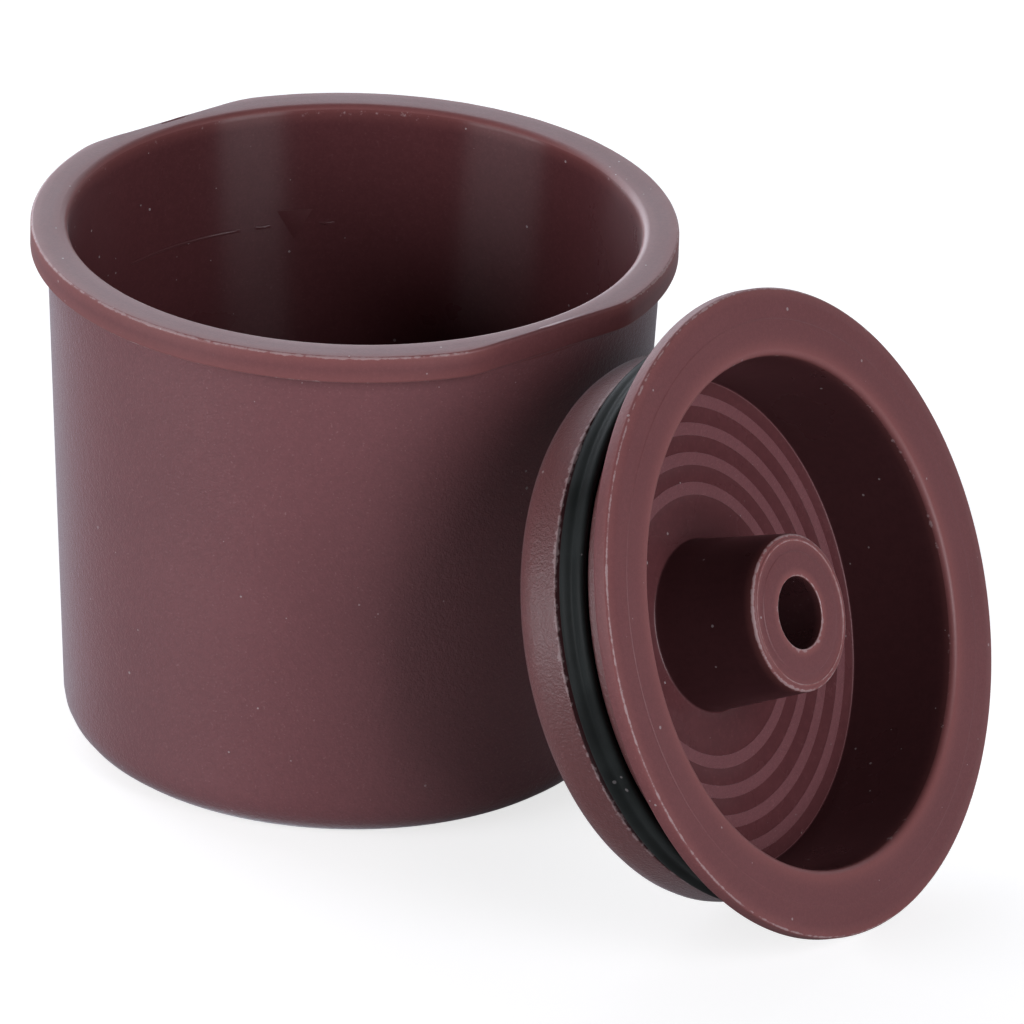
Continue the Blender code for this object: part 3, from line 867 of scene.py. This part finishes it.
def tip_corners():
    """The end of the post, from the hole outwards: a flat, a low step, and a fine ridge near its rim."""
    inner, outer = TIP_RIDGE
    low = -POST_SET_BACK - TIP_STEP
    high = -POST_SET_BACK + TIP_RIDGE_RISE
    slope = TIP_STEP + TIP_RIDGE_RISE
    return [
        (TIP_STEP_RADIUS, -POST_SET_BACK, TIP_STEP_FILLET),
        (TIP_STEP_RADIUS + TIP_STEP, low, TIP_STEP_FILLET),
        (inner - slope, low, TIP_STEP_FILLET),
        (inner, high, TIP_RIDGE_FILLET),
        (outer, high, TIP_RIDGE_FILLET),
        (outer + slope, low, TIP_RIDGE_FILLET),
    ]


# The dish wall, the post's bore and the dish floor take the darker copies of the brown: painted shade.
WALL_BROWN = brown_plastic(
    "dish_wall_brown", RECESS_SHADE_BROWN, 0.30, 0.0003, 0.000001, 0.000001, 0.0003, shine=0.3, painted_glint=0.0
)
DISH_BROWN = brown_plastic("dish_brown", SHADED_INSIDE_BROWN, 0.27, 0.0003, 0.000002, 0.000002, 0.0003, shine=0.3)
PLUG_BROWN = brown_plastic("plug_brown", PLUG_RED_BROWN, 0.42, 0.00017, 0.00009, bloom=0.35, painted_glint=0.3)
FLANGE_SIDE_BROWN = brown_plastic(
    "flange_side_brown", SATIN_BROWN, 0.48, 0.00016, 0.00004, shine=0.2, painted_glint=0.12
)
BORE_BROWN = brown_plastic("post_bore_brown", RECESS_SHADE_BROWN, 0.25, 0.0003, 0.000001, shine=1.0)
LID_MATERIALS = (
    ERODED_BROWN,
    TRIMMED_BROWN,
    DISH_BROWN,
    WALL_BROWN,
    PLUG_BROWN,
    FLANGE_SIDE_BROWN,
    BORE_BROWN,
)
RIB_TOPS, FACES, DISH_FLOOR, WALLS, PLUG, FLANGE_SIDE, POST_BORE = range(len(LID_MATERIALS))

LID_OUTLINE = rounded(
    (
        (LID_FLANGE_RADIUS, -RIM_STEP - FACE_ROLL_DROP, LID_FLANGE_EDGE),
        (LID_FLANGE_RADIUS, -LID_FLANGE_THICKNESS, LID_FLANGE_EDGE),
        (PLUG_RADIUS, -LID_FLANGE_THICKNESS, SMALL_EDGE),
        (PLUG_RADIUS, GROOVE_HALF_WIDTH - SEAL_DEPTH, SMALL_EDGE),
        (GROOVE_RADIUS, GROOVE_HALF_WIDTH - SEAL_DEPTH, SMALL_EDGE),
        (GROOVE_RADIUS, GROOVE_CHAMFER - GROOVE_HALF_WIDTH - SEAL_DEPTH, SMALL_EDGE),
        (PLUG_RADIUS - GROOVE_CHAMFER, GROOVE_CHAMFER - GROOVE_HALF_WIDTH - SEAL_DEPTH, SMALL_EDGE),
        (PLUG_RADIUS, -GROOVE_HALF_WIDTH - SEAL_DEPTH, SMALL_EDGE),
        (PLUG_RADIUS, -PLUG_DEPTH, PLUG_CORNER),
        (SHOWER_RECESS_RADIUS, -PLUG_DEPTH, SMALL_EDGE),
        (SHOWER_RECESS_RADIUS, SHOWER_SEAT, SMALL_EDGE),
        (INLET_RADIUS, SHOWER_SEAT, SMALL_EDGE),
        (INLET_RADIUS, -POST_SET_BACK, SMALL_EDGE),
        *tip_corners(),
        (POST_TIP_RADIUS, -POST_SET_BACK - TIP_STEP, POST_RIM),
        (POST_ROOT_RADIUS, -DISH_DEPTH, POST_ROOT_FILLET),
        *rib_corners(),
        (DISH_FLOOR_RADIUS, -DISH_DEPTH, DISH_FLOOR_FILLET),
        (DISH_MOUTH_RADIUS, 0.0, DISH_LIP),
        *face_corners(),
    ),
    LID_STEP,
)


def lid_finish(radius, height):
    """Which of the lid's materials a place on its section has."""
    if height < -LID_FLANGE_THICKNESS and radius > DISH_MOUTH_RADIUS + SMALL_EDGE:
        on_chamfer = height > -GROOVE_HALF_WIDTH - SEAL_DEPTH and radius < PLUG_RADIUS - SMALL_EDGE
        return WALLS if on_chamfer else PLUG
    if radius > LID_FLANGE_RADIUS - SMALL_EDGE and height < -RIM_STEP - FACE_ROLL_DROP - SMALL_EDGE:
        return FLANGE_SIDE
    if radius < INLET_RADIUS + SMALL_EDGE / 2:
        return POST_BORE
    if height > -DISH_LIP or radius > DISH_MOUTH_RADIUS + DISH_LIP:
        return FACES
    if INLET_RADIUS + SMALL_EDGE < radius < POST_TIP_RADIUS and height > -POST_SET_BACK - POST_RIM:
        return FACES
    if -DISH_DEPTH + RIB_RISE / 2 < height < -DISH_DEPTH + RIB_RISE * 1.1 and radius > FIRST_RIB:
        return RIB_TOPS
    return WALLS if height > RIB_RISE * 2 - DISH_DEPTH else DISH_FLOOR


def fade_creases(radius, bearing, height):
    """The creases and the step run round one side of the lid's face and fade out on the other."""
    if height < -CREASE_DEPTH * 1.2 or not DISH_MOUTH_RADIUS + DISH_LIP < radius < RIM_STEP_RADIUS:
        return radius, height
    return radius, height * max(0.0, math.cos((bearing - CREASE_BEARING) / 2)) ** 6


lid = turned(
    "lid",
    LID_OUTLINE,
    lid_place,
    LID_MATERIALS,
    lid_finish,
    fade_creases,
    LID_SIDES,
)
mark_rings(
    lid,
    "edge",
    (
        (LID_FLANGE_RADIUS - LID_FLANGE_EDGE / 3, -RIM_STEP - FACE_ROLL_DROP, 0.00013, 1.2),
        (DISH_MOUTH_RADIUS, -DISH_LIP, 0.0003, 0.8),
        (POST_TIP_RADIUS - POST_RIM / 3, -POST_SET_BACK - TIP_STEP - POST_RIM / 3, 0.00018, 1.3),
        (TIP_RIDGE[0], -POST_SET_BACK + TIP_RIDGE_RISE, 0.00007, 1.3),
        (INLET_RADIUS + SMALL_EDGE / 2, -POST_SET_BACK, 0.0001, 1.3),
        (PLUG_RADIUS, -GROOVE_HALF_WIDTH - SEAL_DEPTH, 0.00018, 1.2),
    ),
)
# Painted glow along the lid's thin edges: flange rim, dish mouth, post tip, hole edge and ridge.
mark_rings(
    lid,
    "thin",
    (
        (LID_FLANGE_RADIUS - LID_FLANGE_EDGE / 3, -FACE_ROLL_DROP, 0.0005, 0.7),
        (DISH_MOUTH_RADIUS + DISH_LIP / 2, 0.0, 0.0007, 1.0),
        (POST_TIP_RADIUS, -POST_SET_BACK, 0.0005, 1.0),
        (INLET_RADIUS + SMALL_EDGE / 2, -POST_SET_BACK, 0.00012, 1.8),
        (TIP_RIDGE[0], -POST_SET_BACK + TIP_RIDGE_RISE, 0.0001, 1.8),
    ),
)
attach(lid, "lid")
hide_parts("lid_body")


# Rubber ring: moulded in black nitrile rubber with a four-lobed section, stretched into the groove round
# the plug, where it lies against the side nearer the flange.
SEAL_SECTION_RADIUS = 0.0011
SEAL_LOBES = 0.24
SEAL_SQUASH = 0.75
SEAL_RADIUS = 0.01912
SEAL_SHIFT = 0.0003
SEAL_STEPS = 64
SEAL_BLACK = (0.012, 0.0142, 0.0135)
SEAL_GREY = (0.022, 0.026, 0.025)
SEAL_SHINE = 0.12


def black_rubber():
    """Matt black nitrile rubber with a faint grey bloom and a little dust."""
    material = bpy.data.materials.new("black_nitrile")
    material.use_nodes = True
    tree = material.node_tree
    shader = tree.nodes["Principled BSDF"]
    shader.inputs["Specular IOR Level"].default_value = SEAL_SHINE
    place = add_node(tree, "ShaderNodeTexCoord").outputs["Object"]
    bloom = add_node(
        tree, "ShaderNodeTexNoise", {"Vector": place, "Scale": 260.0, "Detail": 5.0}
    ).outputs["Fac"]
    speck = place_group(tree, LINT, {"Vector": place, "Spacing": 0.0016})["Speck"]
    colour = blend_colours(tree, remap(tree, bloom, 0.35, 0.75), SEAL_BLACK, SEAL_GREY)
    colour = blend_colours(tree, calculate(tree, "MULTIPLY", speck, 0.25), colour, LINT_WHITE)
    tree.links.new(colour, shader.inputs["Base Color"])
    tree.links.new(remap(tree, bloom, 0.3, 0.7, 0.48, 0.56), shader.inputs["Roughness"])
    grain = add_node(
        tree, "ShaderNodeTexNoise", {"Vector": place, "Scale": 5000.0, "Detail": 2.0}
    ).outputs["Fac"]
    bump = add_node(tree, "ShaderNodeBump", {"Height": grain, "Distance": 0.000006})
    tree.links.new(bump.outputs["Normal"], shader.inputs["Normal"])
    return material


def ring_section():
    """A flattened section with four rounded lobes, so that the ring seals with two lips."""
    points = []
    for step in range(SEAL_STEPS):
        angle = -math.tau * step / SEAL_STEPS
        reach = SEAL_SECTION_RADIUS * (1.0 - SEAL_LOBES * math.cos(4 * angle))
        radius = SEAL_RADIUS + SEAL_SQUASH * reach * math.cos(angle)
        points.append(Vector((radius, SEAL_SHIFT - SEAL_DEPTH + reach * math.sin(angle))))
    return points


seal = turned("seal_ring", ring_section(), lid_place, (black_rubber(),))
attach(seal, "lid")
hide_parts("lid_seal_ring")


# Shower screen: a disc of punched stainless steel that spreads the water over the grounds, with a thin
# flat steel ring that holds it in the end of the plug.
SHOWER_RADIUS = 0.015903
SHOWER_SCREEN_TOP = -0.0100
SHOWER_SCREEN_THICKNESS = 0.0003
SHOWER_HOLE = 0.0006
SHOWER_PITCH = 0.0013
SHOWER_MARGIN = 0.0024
SHOWER_RING_TOP = -0.0106
SHOWER_RING_WIDTH = 0.0020

shower_screen = perforated_disc(
    "shower_screen",
    SHOWER_RADIUS,
    SHOWER_SCREEN_THICKNESS,
    SHOWER_HOLE,
    SHOWER_PITCH,
    SHOWER_MARGIN,
    lid_place @ Matrix.Translation((0.0, 0.0, SHOWER_SCREEN_TOP - SHOWER_SCREEN_THICKNESS)),
    ETCHED_STEEL,
)
shower_ring = turned(
    "shower_ring",
    rounded(
        (
            (SHOWER_RADIUS, SHOWER_RING_TOP, SMALL_EDGE),
            (SHOWER_RADIUS, -PLUG_DEPTH, SMALL_EDGE),
            (SHOWER_RADIUS - SHOWER_RING_WIDTH, -PLUG_DEPTH, SMALL_EDGE),
            (SHOWER_RADIUS - SHOWER_RING_WIDTH, SHOWER_RING_TOP, SMALL_EDGE),
        ),
        CUP_STEP,
    ),
    lid_place,
    (stainless("turned_steel", 0.28, "Across ends", 0.00014),),
)
for steel_piece, node in ((shower_screen, "lid_shower_screen"), (shower_ring, "lid_shower_ring")):
    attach(steel_piece, "lid")
    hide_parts(node)
